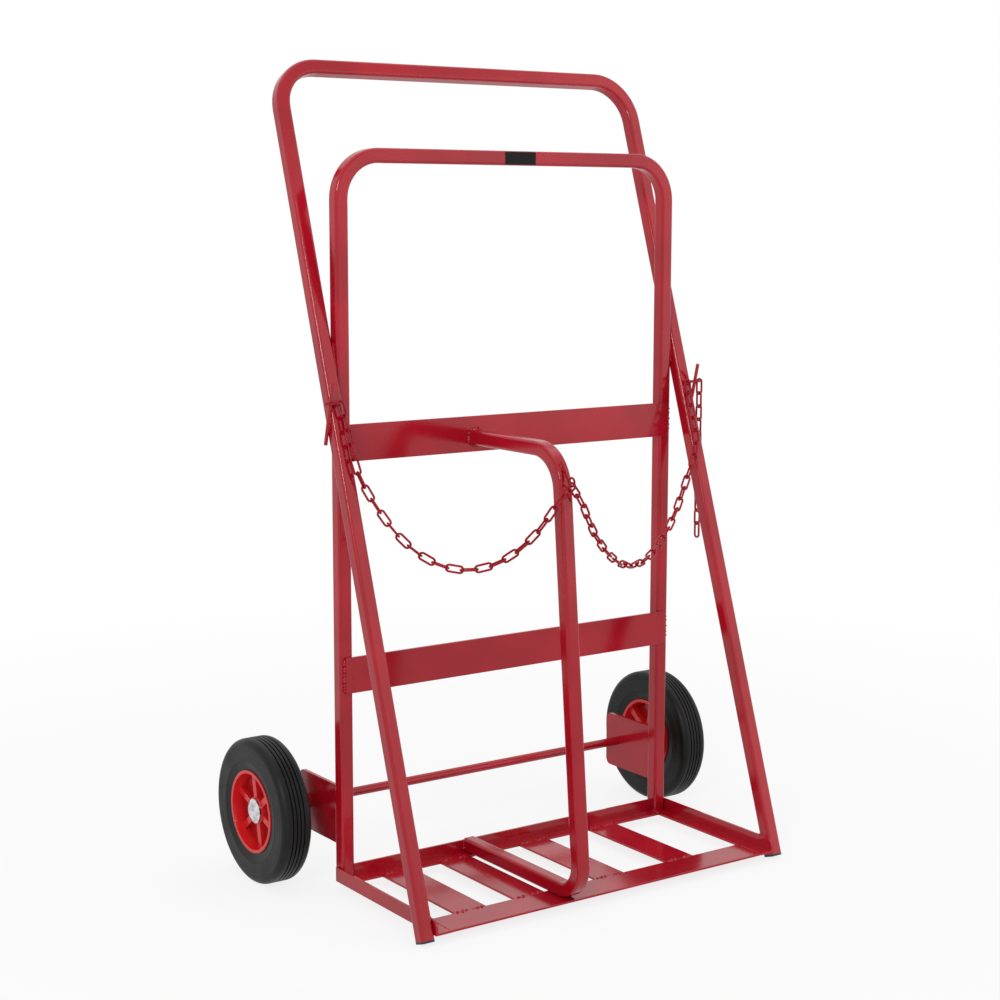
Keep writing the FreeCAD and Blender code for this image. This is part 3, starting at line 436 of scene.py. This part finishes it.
@dataclass(frozen=True)
class Zinc:
    """Bright zinc plating with a soft spangle."""

    name: str = "bright_zinc"
    base: Colour = (0.70, 0.71, 0.73)
    dull: Colour = (0.42, 0.43, 0.45)
    gloss: float = 0.12
    dulling: float = 0.08
    spangle: Cloud = Cloud(160.0, 3.0, 0.6)
    spangle_edges: Span = (0.35, 0.7)
    grain: Cloud = Cloud(500.0, 2.0)
    grain_depth: float = 0.00006

    def material(self) -> bpy.types.Material:
        """Build the finish.

        Returns:
            The material.
        """
        graph = material_graph(self.name)
        spangle = graph.ramp(graph.noise(self.spangle), self.spangle_edges)
        return graph.finish(graph.principled(
            base_color=graph.mix(spangle, self.base, self.dull),
            roughness=spangle * self.dulling + self.gloss,
            metallic=1.0,
            normal=graph.bump(graph.noise(self.grain), self.grain_depth),
        ))


@dataclass(frozen=True)
class BlackPlastic:
    """Moulded black plastic with a fine grain."""

    name: str = "black_plastic"
    base: Colour = (0.012, 0.012, 0.013)
    worn: Colour = (0.045, 0.044, 0.043)
    worn_share: float = 0.5
    gloss: float = 0.42
    dulling: float = 0.15
    shine: float = 0.5
    clouds: Cloud = Cloud(60.0, 4.0)
    cloud_edges: Span = (0.4, 0.75)
    grain: Cloud = Cloud(1100.0, 2.0)
    grain_depth: float = 0.00006

    def material(self) -> bpy.types.Material:
        """Build the finish.

        Returns:
            The material.
        """
        graph = material_graph(self.name)
        clouds = graph.ramp(graph.noise(self.clouds), self.cloud_edges)
        return graph.finish(graph.principled(
            base_color=graph.mix(clouds * self.worn_share, self.base, self.worn),
            roughness=clouds * self.dulling + self.gloss,
            normal=graph.bump(graph.noise(self.grain), self.grain_depth),
            specular_ior_level=self.shine,
        ))


@dataclass(frozen=True)
class StudioFloor:
    """Pale matt floor that looks white and keeps a faint shadow."""

    name: str = "studio_floor"
    base: Colour = (0.80, 0.80, 0.80)
    shade: Colour = (0.84, 0.84, 0.84)
    roughness: float = 0.9
    clouds: Cloud = Cloud(1.5, 2.0)
    whiteness: float = 0.82
    fade: Span = (0.45, 2.2)

    def material(self) -> bpy.types.Material:
        """Build the finish.

        Returns:
            The material.
        """
        graph = material_graph(self.name)
        colour = graph.mix(graph.noise(self.clouds), self.base, self.shade)
        matt = graph.principled(base_color=colour, roughness=self.roughness)
        plain = graph.make("ShaderNodeEmission", {}, {"Color": WHITE, "Strength": 1.0})
        right, back, _ = graph.parts(graph.place)
        away = (right ** 2.0 + back ** 2.0) ** 0.5
        share = graph.seen * graph.ramp(away, self.fade, (self.whiteness, 1.0))
        return graph.finish(graph.make("ShaderNodeMixShader", {}, {"Fac": share, 1: matt, 2: plain}))


@dataclass
class Finishes:
    """All finishes of the trolley, each made once."""

    paint: bpy.types.Material
    chain: bpy.types.Material
    weld: bpy.types.Material
    plastic: bpy.types.Material
    rubber: bpy.types.Material
    zinc: bpy.types.Material
    black: bpy.types.Material
    label: bpy.types.Material

    @classmethod
    def make(cls) -> "Finishes":
        """Build every material.

        Returns:
            The finishes.
        """
        low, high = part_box("left_tyre")
        axle = ((low.y + high.y) / 2, (low.z + high.z) / 2)
        chain = RedPaint(
            name="red_chain_coat",
            deep=(0.30, 0.002, 0.010),
            light=(0.37, 0.004, 0.014),
            gloss=0.16,
            shine=0.15,
        )
        weld = RedPaint(name="painted_weld", lump_height=2.5, peel_depth=0.0006, gloss=0.18)
        label = BlackPlastic(
            name="bare_label",
            base=(0.004, 0.004, 0.004),
            worn=(0.010, 0.010, 0.010),
            shine=0.15,
        )
        return cls(
            paint=RedPaint().material(),
            chain=chain.material(),
            weld=weld.material(),
            plastic=RedPlastic(web=abs(low.x + high.x) / 2).material(),
            rubber=Rubber(axle=axle).material(),
            zinc=Zinc().material(),
            black=BlackPlastic().material(),
            label=label.material(),
        )


def wear(names: Sequence[str], material: bpy.types.Material) -> None:
    """Give CAD nodes a finish.

    Args:
        names: The nodes' names.
        material: The finish.
    """
    for name in names:
        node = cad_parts[name]
        node.data.materials.clear()
        node.data.materials.append(material)
        log.info("dressed %s in %s", name, material.name)


def circle(middle: Vector, across: Vector, upward: Vector, sides: int) -> list[Vector]:
    """Points round a circle whose two half axes are given."""
    turns = [2.0 * math.pi * side / sides for side in range(sides)]
    return [middle + across * math.cos(turn) + upward * math.sin(turn) for turn in turns]


@dataclass
class Mesh:
    """A mesh in the making: closed shells gathered under one name."""

    name: str
    points: list[Vector] = field(default_factory=list)
    faces: list[list[int]] = field(default_factory=list)
    corner_steps: int = 6

    def shell(self, rings: Sequence[Sequence[Vector]], start: Vector, end: Vector) -> None:
        """Add a closed shell: rings of points joined in order, with a tip at both ends.

        Args:
            rings: The rings, each with as many points as the others.
            start: The tip before the first ring.
            end: The tip after the last ring.
        """
        sides = len(rings[0])
        first = len(self.points)
        self.points.append(start)
        for ring in rings:
            self.points += ring
        self.points.append(end)
        last = len(self.points) - 1
        for side in range(sides):
            after = (side + 1) % sides
            self.faces.append([first, first + 1 + after, first + 1 + side])
            for number in range(len(rings) - 1):
                here = first + 1 + number * sides
                there = here + sides
                self.faces.append([here + side, here + after, there + after, there + side])
            top = last - sides
            self.faces.append([last, top + side, top + after])

    def plate(self, low: Vector, high: Vector, corner: float) -> None:
        """Add a flat plate with rounded corners that looks forward.

        Args:
            low: Lowest corner.
            high: Highest corner.
            corner: Corner radius in metres.
        """
        outline = []
        spots = (
            (high.x - corner, high.z - corner),
            (low.x + corner, high.z - corner),
            (low.x + corner, low.z + corner),
            (high.x - corner, low.z + corner),
        )
        for quarter, (x, z) in enumerate(spots):
            for step in range(self.corner_steps + 1):
                turn = math.pi / 2 * (quarter + step / self.corner_steps)
                outline.append((x + corner * math.cos(turn), z + corner * math.sin(turn)))
        count = len(outline)
        first = len(self.points)
        for y in (low.y, high.y):
            self.points += [Vector((x, y, z)) for x, z in outline]
        self.faces.append([first + number for number in range(count)])
        self.faces.append([first + count + number for number in reversed(range(count))])
        for number in range(count):
            after = (number + 1) % count
            self.faces.append([first + after, first + number, first + count + number, first + count + after])

    def build(self, material: bpy.types.Material, body: str, smooth: bool = True) -> None:
        """Make the object, give it a finish and let it ride on a body.

        Args:
            material: The finish.
            body: Name of the CAD body that it moves with.
            smooth: Whether its faces are shaded smooth.
        """
        mesh = bpy.data.meshes.new(self.name)
        mesh.from_pydata([tuple(point) for point in self.points], [], self.faces)
        mesh.validate()
        mesh.update()
        for polygon in mesh.polygons:
            polygon.use_smooth = smooth
        mesh.materials.append(material)
        thing = bpy.data.objects.new(self.name, mesh)
        bpy.context.scene.collection.objects.link(thing)
        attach(thing, body)
        log.info("built %s: %d faces", self.name, len(mesh.polygons))


@dataclass
class WeldMesh(Mesh):
    """A mesh of weld beads and of the drops that welding throws off."""

    sides: int = 12
    ring_step: float = 0.0008
    fewest_steps: int = 6
    lumps: Span = (0.0047, 0.0079)
    phase_rate: float = 300.0
    sway: float = 0.5
    end_size: float = 0.55
    end_growth: float = 6.0
    tip: float = 0.6
    drop_sizes: Span = (0.0004, 0.0010)
    drop_sides: int = 8
    drop_rings: tuple[Span, ...] = ((-0.2, 1.0), (0.4, 0.85), (0.65, 0.5))
    drop_foot: float = -0.3
    drop_top: float = 0.75

    def bead(self, start: Vector, end: Vector, weld: Weld) -> None:
        """Add a weld bead: a lumpy round run with closed ends.

        Args:
            start: Where its centre line starts.
            end: Where its centre line ends.
            weld: Its thickness and lumps.
        """
        length = (end - start).length
        along = (end - start).normalized()
        across = along.orthogonal().normalized()
        upward = along.cross(across)
        phase = self.phase_rate * (start.x + start.y + start.z)
        count = max(self.fewest_steps, round(length / self.ring_step))
        rings = []
        for number in range(count + 1):
            share = number / count
            ends = min(1.0, self.end_size + self.end_growth * min(share, 1.0 - share))
            waves = [math.sin(phase + 2.0 * math.pi * length * share / lump) for lump in self.lumps]
            size = weld.radius * ends * (1.0 + weld.ripple * sum(waves))
            middle = start.lerp(end, share) + across * (self.sway * weld.ripple * weld.radius * waves[-1])
            rings.append(circle(middle, across * size, upward * size, self.sides))
        reach = along * weld.radius * self.tip
        self.shell(rings, start - reach, end + reach)

    def drops(self, low: Vector, high: Vector, count: int, seed: int) -> None:
        """Scatter drops thrown off a weld over a patch of a face that looks forward.

        Args:
            low: The patch's lowest corner, on the face.
            high: Its highest corner, at the same depth.
            count: How many drops.
            seed: Start of the random draws.
        """
        draw = random.Random(seed)
        for _ in range(count):
            middle = Vector((draw.uniform(low.x, high.x), low.y, draw.uniform(low.z, high.z)))
            size = draw.uniform(*self.drop_sizes)
            right, upward, ahead = RIGHTWARD * size, UPWARD * size, FORWARD * size
            rings = []
            for rise, share in self.drop_rings:
                rings.append(circle(middle + ahead * rise, right * share, upward * share, self.drop_sides))
            self.shell(rings, middle + ahead * self.drop_foot, middle + ahead * self.drop_top)


@dataclass
class TubeFrame:
    """The two hoops, the straps, the divider and the hooks, with their beads and the bare label."""

    finishes: Finishes
    nodes: tuple[str, ...] = (
        "upright_hoop", "handle_hoop", "upper_strap", "lower_strap", "bay_divider", "crossing_welds",
        "left_chain_hook", "right_chain_hook",
    )
    plugs: tuple[str, ...] = ("left_leg_plug", "right_leg_plug")

    straps: tuple[str, ...] = ("upper_strap", "lower_strap")
    strap_weld: Weld = Weld(0.0027, 0.3)
    strap_weld_out: float = 0.0006
    strap_weld_ahead: float = 0.0008
    strap_weld_inset: float = 0.003
    drop_reach: float = 0.014
    drop_inset: float = 0.002
    drop_count: int = 26
    seed_step: int = 10

    divider_weld: Weld = Weld(0.0030, 0.34)
    divider_weld_ahead: float = 0.0005
    divider_weld_inset: float = 0.003
    foot_weld: Weld = Weld(0.0020)
    foot_weld_sunk: float = 0.0006
    foot_weld_below: float = 0.002

    crossing_weld: Weld = Weld(0.0022)
    crossing_reach: Span = (0.012, 0.026)
    crossing_depth: Span = (0.003, 0.007)

    hook_weld: Weld = Weld(0.0016)
    hook_weld_out: float = 0.0006
    hook_weld_apart: float = 0.0024
    hook_weld_below: float = 0.024
    hook_weld_length: float = 0.022

    label_size: Span = (0.052, 0.0175)
    label_middle: float = 0.010
    label_ahead: float = 0.0004
    label_sunk: float = 0.0002
    label_corner: float = 0.0012

    def dress(self) -> None:
        """Give the tubes, straps and plugs their finishes."""
        wear(self.nodes, self.finishes.paint)
        wear(self.plugs, self.finishes.black)

    def build(self) -> None:
        """Add the beads at the straps, the divider, the crossings and the hooks, and the bare label."""
        low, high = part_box("upright_hoop")
        beads = WeldMesh("frame_weld_beads")
        self.strap_beads(beads, low.y)
        self.divider_beads(beads)
        self.crossing_beads(beads)
        self.hook_beads(beads)
        beads.build(self.finishes.weld, "frame")
        self.label(low, high)

    def strap_beads(self, beads: WeldMesh, front: float) -> None:
        """Add the beads at the straps' ends, with drops beside them.

        Args:
            beads: The mesh that takes them.
            front: The Y of the uprights' front face.
        """
        y = front - self.strap_weld_ahead
        for number, strap in enumerate(self.straps):
            start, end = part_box(strap)
            for side in Side:
                edge = side.outer(start, end)
                x = edge + side.value * self.strap_weld_out
                foot = Vector((x, y, start.z + self.strap_weld_inset))
                head = Vector((x, y, end.z - self.strap_weld_inset))
                beads.bead(foot, head, self.strap_weld)
                inner = edge - side.value * self.drop_reach
                low = Vector((min(edge, inner), start.y, start.z + self.drop_inset))
                high = Vector((max(edge, inner), start.y, end.z - self.drop_inset))
                beads.drops(low, high, self.drop_count, seed=self.seed_step * number + side.value)

    def divider_beads(self, beads: WeldMesh) -> None:
        """Add the beads round the divider's upper arm at the strap and along its foot at the rear angle.

        Args:
            beads: The mesh that takes them.
        """
        low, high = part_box("bay_divider")
        strap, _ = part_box("upper_strap")
        _, angle_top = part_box("rear_base_angle")
        inset = self.divider_weld_inset
        y = strap.y - self.divider_weld_ahead
        bottom = high.z - (high.x - low.x)
        for z in (bottom, high.z):
            beads.bead(Vector((low.x + inset, y, z)), Vector((high.x - inset, y, z)), self.divider_weld)
        for x in (low.x, high.x):
            beads.bead(Vector((x, y, bottom + inset)), Vector((x, y, high.z - inset)), self.divider_weld)
        y = high.y - self.foot_weld_sunk
        top = angle_top.z - self.foot_weld_below
        for x in (low.x, high.x):
            beads.bead(Vector((x, y, low.z + inset)), Vector((x, y, top)), self.foot_weld)

    def crossing_beads(self, beads: WeldMesh) -> None:
        """Add the beads in front of and behind the pads where the hoops cross.

        Args:
            beads: The mesh that takes them.
        """
        low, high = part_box("crossing_welds")
        tube, tube_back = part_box("upright_hoop")
        middle = (low.z + high.z) / 2
        gap = (low.x + tube.x) / 2
        short, long = self.crossing_reach
        near, far = self.crossing_depth
        for x in (gap, -gap):
            foot = Vector((x, tube.y + near, middle - long))
            head = Vector((x, tube.y + far, middle + short))
            beads.bead(foot, head, self.crossing_weld)
            foot = Vector((x, tube_back.y - far, middle - short))
            head = Vector((x, tube_back.y - near, middle + long))
            beads.bead(foot, head, self.crossing_weld)

    def hook_beads(self, beads: WeldMesh) -> None:
        """Add short beads along both hooks where they lie on the legs.

        Args:
            beads: The mesh that takes them.
        """
        for side in Side:
            low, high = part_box(f"{side.word}_chain_hook")
            x = side.inner(low, high) + side.value * self.hook_weld_out
            middle = Vector((x, (low.y + high.y) / 2, (low.z + high.z) / 2))
            lean = Vector((0.0, low.y - high.y, high.z - low.z)).normalized()
            ahead = lean.cross(RIGHTWARD).normalized()
            for shift in (-self.hook_weld_apart, self.hook_weld_apart):
                start = middle + ahead * shift - lean * self.hook_weld_below
                beads.bead(start, start + lean * self.hook_weld_length, self.hook_weld)

    def label(self, low: Vector, high: Vector) -> None:
        """Lay the bare label on the front of the upright hoop's top bar.

        Args:
            low: The hoop's lowest corner.
            high: The hoop's highest corner.
        """
        label = Mesh("bare_label")
        width, height = self.label_size
        x = self.label_middle
        z = high.z - (high.y - low.y) / 2
        start = Vector((x - width / 2, low.y - self.label_ahead, z - height / 2))
        end = Vector((x + width / 2, low.y + self.label_sunk, z + height / 2))
        label.plate(start, end, self.label_corner)
        label.build(self.finishes.label, "frame", smooth=False)


@dataclass
class Tray:
    """The angles, the front bar and the slats, with their beads."""

    finishes: Finishes
    nodes: tuple[str, ...] = (
        "rear_base_angle", "left_base_angle", "right_base_angle", "front_base_bar",
        "base_slat_1", "base_slat_2", "base_slat_3", "base_slat_4",
    )
    slats: int = 4
    sunk: float = 0.0008

    slat_weld: Weld = Weld(0.0020, 0.36)
    slat_weld_reach: Span = (0.003, 0.021)

    bar_weld: Weld = Weld(0.0014, 0.12)
    bar_weld_insets: Span = (0.004, 0.006)

    leg_weld: Weld = Weld(0.0018)
    leg_weld_reach: Span = (0.014, 0.030)
    leg_weld_sunk: float = 0.0002

    corner_weld: Weld = Weld(0.0016)
    corner_weld_rise: float = 0.0032
    corner_weld_inset: float = 0.004

    def dress(self) -> None:
        """Give the tray its paint."""
        wear(self.nodes, self.finishes.paint)

    def build(self) -> None:
        """Add the beads at the slats' ends, the front bar's ends, the legs and the rear corners."""
        beads = WeldMesh("tray_weld_beads")
        near, far = self.slat_weld_reach
        for number in range(1, self.slats + 1):
            low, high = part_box(f"base_slat_{number}")
            z = high.z - self.sunk
            for y in (low.y, high.y):
                for start, end in ((low.x + near, low.x + far), (high.x - far, high.x - near)):
                    beads.bead(Vector((start, y, z)), Vector((end, y, z)), self.slat_weld)
        bar, bar_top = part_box("front_base_bar")
        front, back = self.bar_weld_insets
        z = bar_top.z - self.sunk
        for x in (bar.x, bar_top.x):
            beads.bead(Vector((x, bar.y + front, z)), Vector((x, bar_top.y - back, z)), self.bar_weld)
        rear, rear_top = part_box("rear_base_angle")
        near, far = self.leg_weld_reach
        for side in Side:
            angle, angle_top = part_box(f"{side.word}_base_angle")
            x, z = side.outer(angle, angle_top), angle_top.z - self.leg_weld_sunk
            beads.bead(Vector((x, angle.y + near, z)), Vector((x, angle.y + far, z)), self.leg_weld)
            x, z = side.outer(rear, rear_top), rear.z + self.corner_weld_rise
            end = rear_top.y - self.corner_weld_inset
            beads.bead(Vector((x, rear.y, z)), Vector((x, end, z)), self.corner_weld)
        beads.build(self.finishes.weld, "frame")


@dataclass
class RunningGear:
    """Brackets, axle, spacers, washers, caps and both wheels."""

    finishes: Finishes
    bracket_weld: Weld = Weld(0.0022)
    bracket_weld_inset: float = 0.004

    def dress(self) -> None:
        """Give every piece on the axle its finish."""
        wear(("axle",), self.finishes.paint)
        for side in Side:
            name = side.word
            wear((f"{name}_axle_bracket", f"{name}_wheel_spacer"), self.finishes.paint)
            wear((f"{name}_wheel_washers", f"{name}_axle_cap"), self.finishes.zinc)
            wear((f"{name}_tyre",), self.finishes.rubber)
            wear((f"{name}_wheel_centre",), self.finishes.plastic)
            wear((f"{name}_wheel_bushes",), self.finishes.black)

    def build(self) -> None:
        """Add the beads between brackets and uprights."""
        beads = WeldMesh("bracket_weld_beads")
        inset = self.bracket_weld_inset
        for side in Side:
            low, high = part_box(f"{side.word}_axle_bracket")
            for x in (low.x, high.x):
                foot = Vector((x, low.y, low.z + inset))
                beads.bead(foot, Vector((x, low.y, high.z - inset)), self.bracket_weld)
        beads.build(self.finishes.weld, "frame")


@dataclass
class ChainSet:
    """The painted chain and the eye that holds it on the divider."""

    finishes: Finishes
    nodes: tuple[str, ...] = (
        "left_hooked_links", "left_chain", "left_divider_links", "right_hooked_links", "right_chain",
        "right_divider_links", "chain_tail", "divider_chain_eye",
    )
    eye_lean: float = 36.0
    eye_wire: float = 0.003
    eye_weld: Weld = Weld(0.0015, 0.3)
    eye_weld_length: float = 0.011
    eye_weld_depth: float = 0.8

    def dress(self) -> None:
        """Give the links their paint."""
        wear(self.nodes, self.finishes.chain)

    def build(self) -> None:
        """Add the beads that hold the eye's rod on the divider's bend."""
        beads = WeldMesh("eye_weld_beads")
        low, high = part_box("divider_chain_eye")
        lean = math.radians(self.eye_lean)
        down = Vector((0.0, -math.sin(lean), -math.cos(lean)))
        inward = Vector((0.0, math.cos(lean), -math.sin(lean)))
        half = self.eye_wire / 2
        head_y = high.y - half * math.cos(lean)
        head_z = high.z - half * math.sin(lean)
        for x in (low.x, high.x):
            start = Vector((x, head_y, head_z)) + inward * (self.eye_weld_depth * half)
            beads.bead(start, start + down * self.eye_weld_length, self.eye_weld)
        beads.build(self.finishes.weld, "frame")


@dataclass(frozen=True)
class Lamp:
    """One soft lamp of the studio."""

    name: str
    place: Place
    aim: Place
    size: Span
    power: float

    def build(self) -> None:
        """Hang the lamp and point it."""
        data = bpy.data.lights.new(self.name, "AREA")
        data.shape = "RECTANGLE"
        data.size, data.size_y = self.size
        data.energy = self.power
        lamp = bpy.data.objects.new(self.name, data)
        lamp.location = self.place
        lamp.rotation_euler = (Vector(self.aim) - Vector(self.place)).to_track_quat("-Z", "Y").to_euler()
        bpy.context.scene.collection.objects.link(lamp)


@dataclass
class Studio:
    """Floor, light, world and camera."""

    camera_place: Place = (-1.58585, -2.20552, 0.92636)
    azimuth: float = -34.9635
    pitch: float = 8.3918
    roll: float = 0.0977
    lens: float = 69.98
    sensor: float = 36.0
    floor_reach: float = 14.0
    world_light: float = 0.60
    lamps: tuple[Lamp, ...] = (
        Lamp("key", place=(-2.7, -2.3, 2.2), aim=(0.0, 0.0, 0.5), size=(0.8, 0.8), power=44.0),
        Lamp("fill", place=(2.6, -2.2, 1.6), aim=(0.0, 0.0, 0.5), size=(3.2, 3.0), power=20.0),
        Lamp("top", place=(0.2, 0.4, 3.2), aim=(0.0, 0.0, 0.0), size=(3.4, 3.4), power=26.0),
    )

    def build(self) -> None:
        """Set the stage up."""
        self.floor()
        self.world()
        for lamp in self.lamps:
            lamp.build()
        self.camera()
        bpy.context.scene.view_settings.view_transform = "Standard"

    def floor(self) -> None:
        """Lay the floor."""
        reach = self.floor_reach
        mesh = bpy.data.meshes.new("floor")
        outline = [(-reach, -reach, 0.0), (reach, -reach, 0.0), (reach, reach, 0.0), (-reach, reach, 0.0)]
        mesh.from_pydata(outline, [], [(0, 1, 2, 3)])
        mesh.materials.append(StudioFloor().material())
        floor = bpy.data.objects.new("floor", mesh)
        bpy.context.scene.collection.objects.link(floor)

    def world(self) -> None:
        """Light everything softly from a surround that shows as plain white."""
        graph = Graph(bpy.data.worlds.new("white_surround"))
        soft = graph.make("ShaderNodeBackground", {}, {"Color": WHITE, "Strength": self.world_light})
        plain = graph.make("ShaderNodeBackground", {}, {"Color": WHITE, "Strength": 1.0})
        surround = graph.make("ShaderNodeMixShader", {}, {"Fac": graph.seen, 1: soft, 2: plain})
        bpy.context.scene.world = graph.finish(surround)

    def camera(self) -> None:
        """Stand the camera where the photograph was taken from."""
        azimuth, pitch, roll = (math.radians(angle) for angle in (self.azimuth, self.pitch, self.roll))
        level = Vector((-math.sin(azimuth), math.cos(azimuth), 0.0))
        ahead = level * math.cos(pitch) - UPWARD * math.sin(pitch)
        right = Vector((math.cos(azimuth), math.sin(azimuth), 0.0))
        upward = right.cross(ahead)
        rolled = right * math.cos(roll) + upward * math.sin(roll)
        upward = upward * math.cos(roll) - right * math.sin(roll)
        data = bpy.data.cameras.new("photo_camera")
        data.lens = self.lens
        data.sensor_width = self.sensor
        camera = bpy.data.objects.new("photo_camera", data)
        turn = Matrix((rolled, upward, -ahead)).transposed().to_4x4()
        camera.matrix_world = Matrix.Translation(self.camera_place) @ turn
        bpy.context.scene.collection.objects.link(camera)
        bpy.context.scene.camera = camera


def main() -> None:
    """Dress and complete every sub-assembly, then set the studio up."""
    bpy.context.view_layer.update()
    finishes = Finishes.make()
    for assembly in (TubeFrame(finishes), Tray(finishes), RunningGear(finishes), ChainSet(finishes)):
        log.info("sub-assembly %s", type(assembly).__name__)
        assembly.dress()
        assembly.build()
    Studio().build()


if __name__ == "__main__":
    main()
